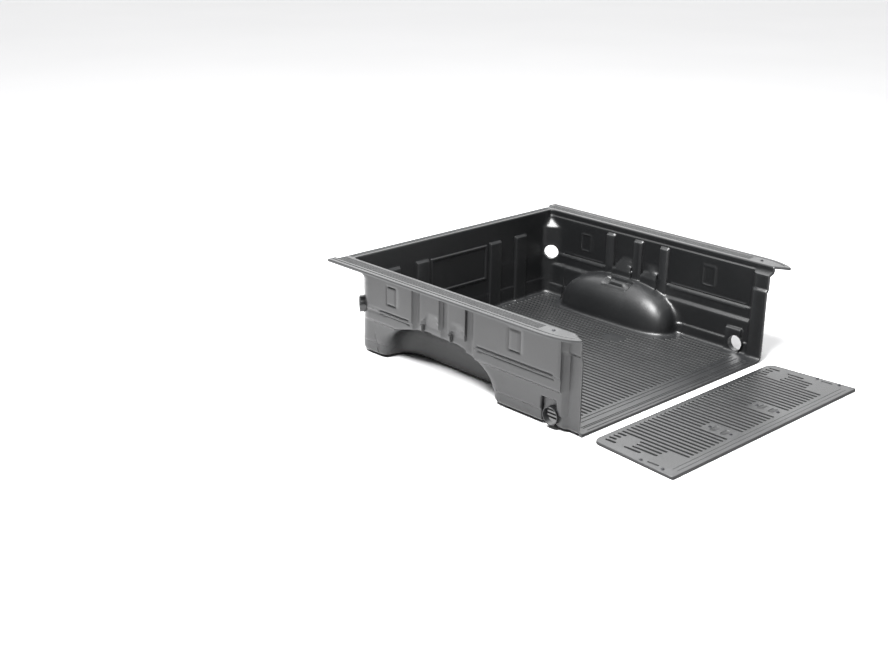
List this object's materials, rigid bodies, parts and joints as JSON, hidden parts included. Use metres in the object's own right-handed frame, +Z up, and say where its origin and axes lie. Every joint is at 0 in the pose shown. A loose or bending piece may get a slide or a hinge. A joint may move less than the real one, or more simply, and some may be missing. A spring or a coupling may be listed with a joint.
{
  "type": "truck bed liner",
  "caption": "Over-rail bed liner for a pickup's cargo box: a one-piece moulded tub with wheelhouse covers and rail caps, plus a hinged-with-the-tailgate liner panel.",
  "frame": {"origin": "on the underside of the tub's middle groove bed, halfway along the cargo box floor", "axes": "+X towards the vehicle's right side, +Y forward to the cab, +Z up; the tub rests on the XY plane"},
  "size_m": [1.89, 2.332, 0.56],
  "materials": {
    "liner_plastic": "pebble-grained black high-density polyethylene sheet",
    "black_steel": "satin black plated steel screws and dished washers",
    "zinc_steel": "bright zinc-plated spring steel clips and nuts"
  },
  "bodies": {
    "tub": {"bed_liner_tub": "liner_plastic", "rail_screw_left": "black_steel", "rail_washer_left": "black_steel", "rail_clip_left": "zinc_steel", "rail_nut_left": "zinc_steel", "rail_screw_right": "black_steel", "rail_washer_right": "black_steel", "rail_clip_right": "zinc_steel", "rail_nut_right": "zinc_steel"},
    "tailgate_panel": {"tailgate_liner": "liner_plastic", "tailgate_screw_middle_inner_left": "black_steel", "tailgate_washer_middle_inner_left": "black_steel", "tailgate_clip_nut_middle_inner_left": "zinc_steel", "tailgate_screw_middle_inner_right": "black_steel", "tailgate_washer_middle_inner_right": "black_steel", "tailgate_clip_nut_middle_inner_right": "zinc_steel", "tailgate_screw_middle_outer_left": "black_steel", "tailgate_washer_middle_outer_left": "black_steel", "tailgate_clip_nut_middle_outer_left": "zinc_steel", "tailgate_screw_middle_outer_right": "black_steel", "tailgate_washer_middle_outer_right": "black_steel", "tailgate_clip_nut_middle_outer_right": "zinc_steel", "tailgate_screw_side_left": "black_steel", "tailgate_washer_side_left": "black_steel", "tailgate_clip_nut_side_left": "zinc_steel", "tailgate_screw_side_right": "black_steel", "tailgate_washer_side_right": "black_steel", "tailgate_clip_nut_side_right": "zinc_steel", "tailgate_screw_corner_left": "black_steel", "tailgate_washer_corner_left": "black_steel", "tailgate_clip_nut_corner_left": "zinc_steel", "tailgate_screw_corner_right": "black_steel", "tailgate_washer_corner_right": "black_steel", "tailgate_clip_nut_corner_right": "zinc_steel"}
  },
  "joints": [
    {"name": "tailgate_swing", "type": "hinge", "parent": "tub", "child": "tailgate_panel", "pos_m": [0, -0.86825, 0.008], "axis": [-1, 0, 0], "range_deg": [0, 90]}
  ]
}
